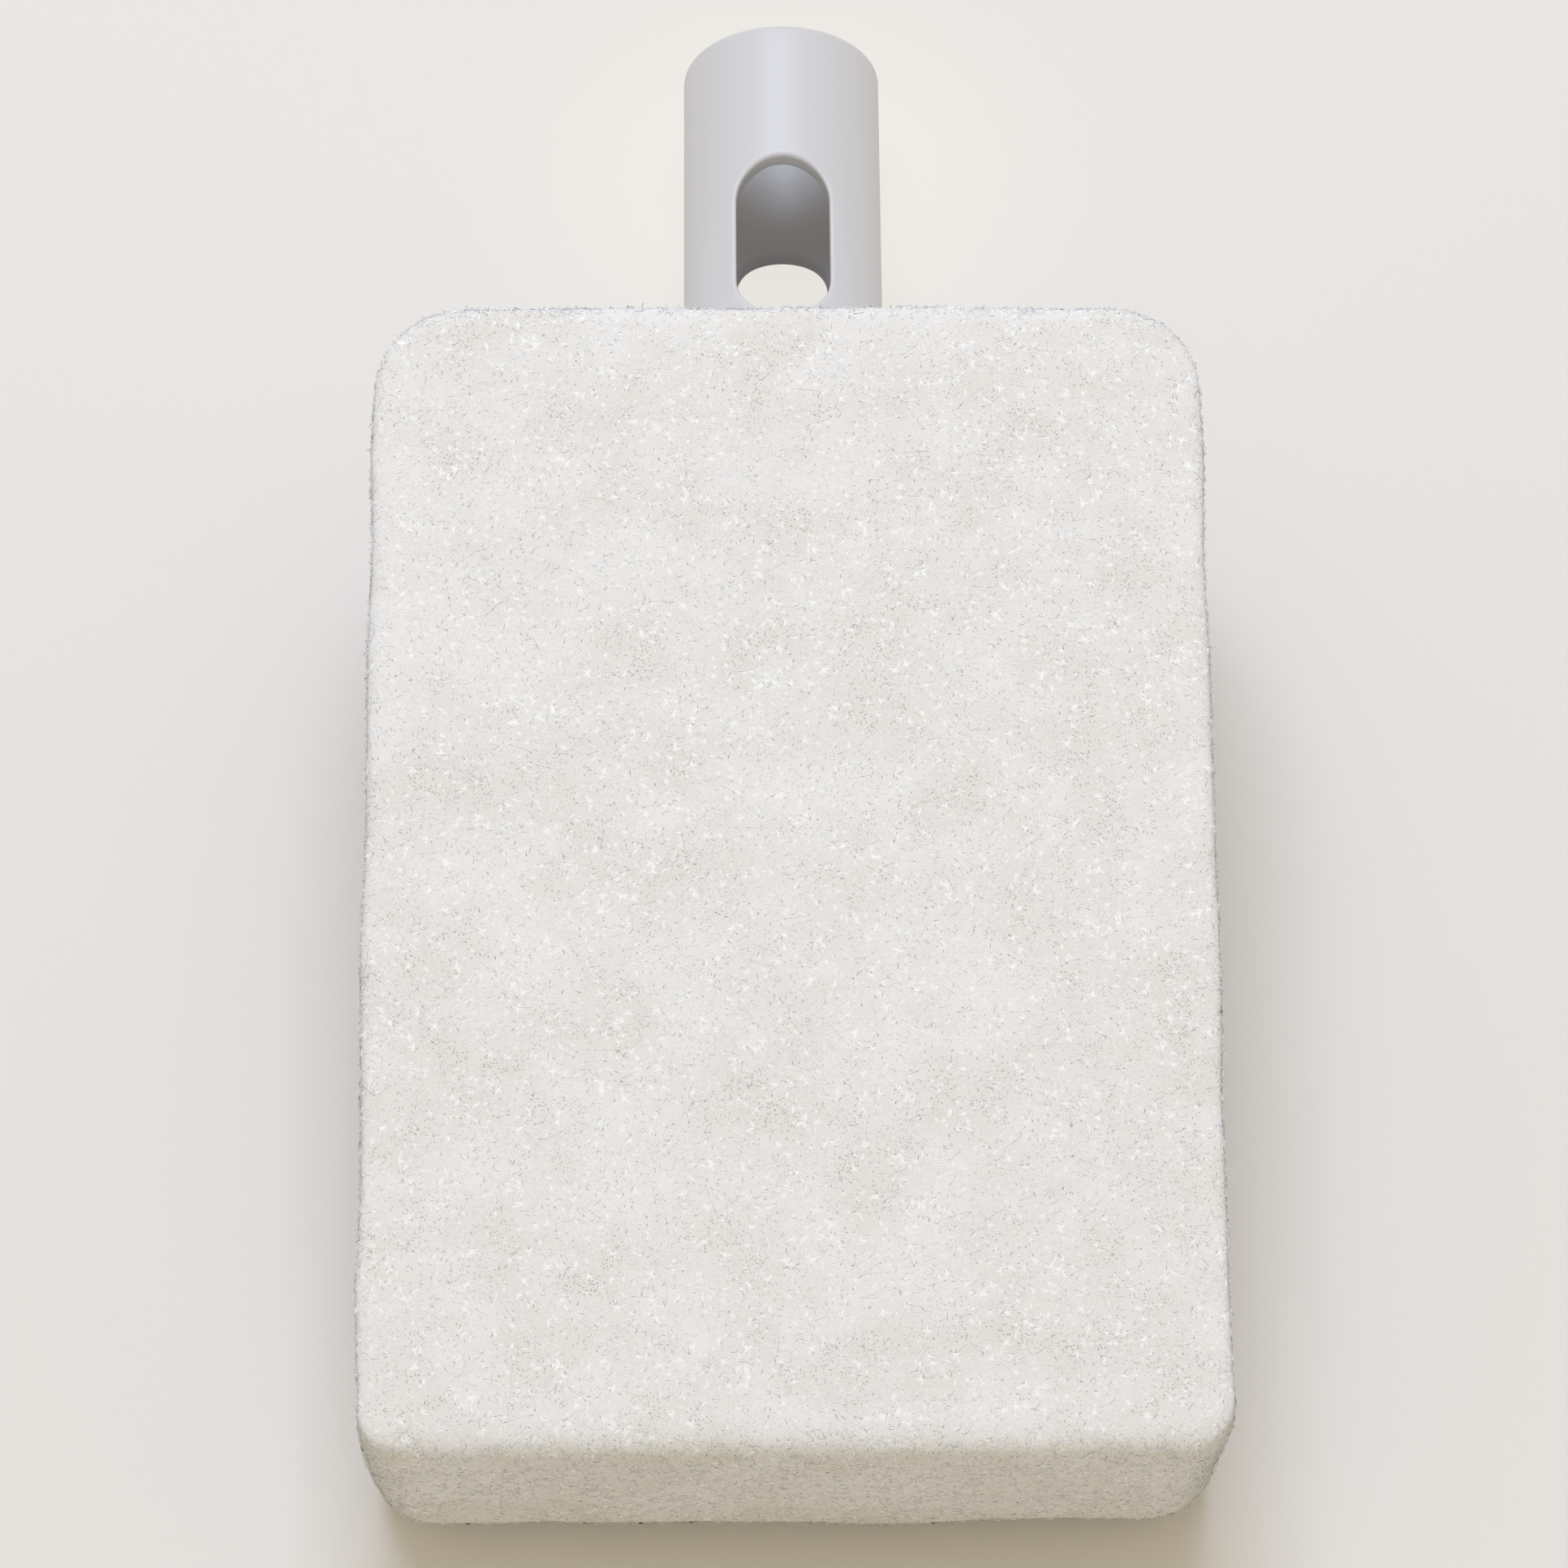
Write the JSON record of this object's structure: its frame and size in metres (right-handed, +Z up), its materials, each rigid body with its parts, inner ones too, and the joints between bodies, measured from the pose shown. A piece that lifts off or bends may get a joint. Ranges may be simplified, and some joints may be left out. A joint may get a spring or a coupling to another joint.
{
  "type": "bath sponge head",
  "caption": "Thick white non-woven scrubbing pad with rounded corners, bonded to a moulded holder whose slotted round socket takes a pole.",
  "frame": {"origin": "on the surface that the head lies on, under the middle of its box", "axes": "+Y along the socket towards its mouth, +Z up from the surface, +X across the pad; the working face slopes 8.5 degrees down towards -Y"},
  "size_m": [0.0936, 0.1924, 0.0545],
  "materials": {
    "non_woven_fibre": "bonded curled fibres, matt",
    "holder_plastic": "satin moulded polypropylene"
  },
  "bodies": {
    "root": {"scrub_pad": "non_woven_fibre", "socket_holder": "holder_plastic"}
  },
  "joints": []
}
